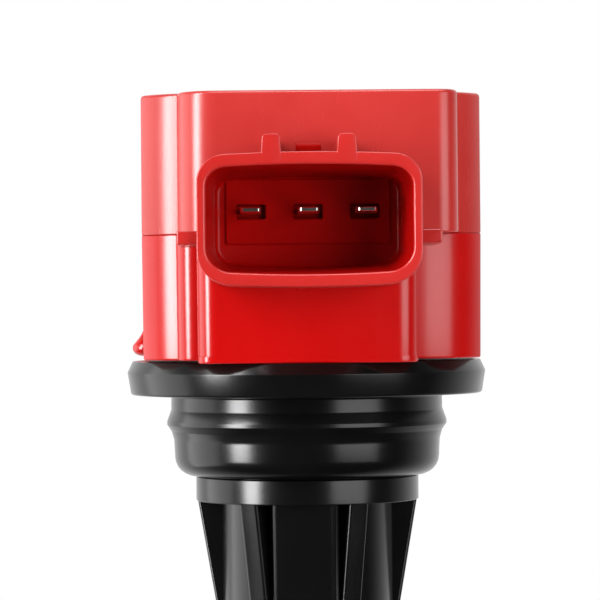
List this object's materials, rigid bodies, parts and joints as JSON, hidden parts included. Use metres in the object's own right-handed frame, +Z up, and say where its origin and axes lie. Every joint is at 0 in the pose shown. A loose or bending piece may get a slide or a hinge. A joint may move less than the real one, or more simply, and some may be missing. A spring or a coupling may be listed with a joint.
{
  "type": "ignition coil",
  "caption": "Coil-on-plug ignition coil with a red head and harness socket on a black ribbed stalk with a seal collar and a rubber spark plug boot.",
  "frame": {"origin": "centre of the spark plug boot's mouth, on the plug axis", "axes": "+Z up along the plug axis, -Y towards the harness connector, +Y towards the mounting ear, +X to the right seen from the connector"},
  "size_m": [0.0422, 0.08, 0.1672],
  "materials": {
    "red_plastic": "satin, moulded",
    "black_plastic": "gloss, moulded",
    "black_rubber": "satin",
    "tin_plate": "bright tin",
    "steel": "zinc plated",
    "silicon_steel": "laminated",
    "magnet": "sintered, dark",
    "enamelled_copper": "enamelled wire",
    "brass": "plain",
    "bobbin_plastic": "moulded",
    "dark_plastic": "moulded",
    "aluminium": "rolled",
    "resistor_body": "fired clay look",
    "epoxy": "cast, level surface"
  },
  "bodies": {
    "coil": {"head_case": "red_plastic", "mounting_bushing": "steel", "terminal_carrier": "red_plastic", "supply_blade": "tin_plate", "ground_blade": "tin_plate", "signal_blade": "tin_plate", "igniter_module": "dark_plastic", "igniter_heat_sink": "aluminium", "igniter_leads": "tin_plate", "center_core": "silicon_steel", "outer_core": "silicon_steel", "bias_magnet": "magnet", "core_cushions": "black_rubber", "primary_bobbin": "dark_plastic", "primary_winding": "enamelled_copper", "supply_lead": "enamelled_copper", "switched_lead": "enamelled_copper", "secondary_bobbin": "bobbin_plastic", "secondary_winding": "enamelled_copper", "hv_diode": "dark_plastic", "hv_terminal": "brass", "suppression_resistor": "resistor_body", "resistor_caps": "brass", "potting": "epoxy", "seal_collar": "black_rubber", "stalk": "black_plastic", "plug_boot": "black_rubber", "contact_spring": "steel"},
    "contact": {"contact_cap": "brass"}
  },
  "joints": [
    {"name": "contact_press", "type": "slide", "parent": "coil", "child": "contact", "axis": [0, 0, 1], "range_m": [0, 0.006], "stiffness_N_per_m": 300, "deforming": ["contact_spring"]}
  ]
}
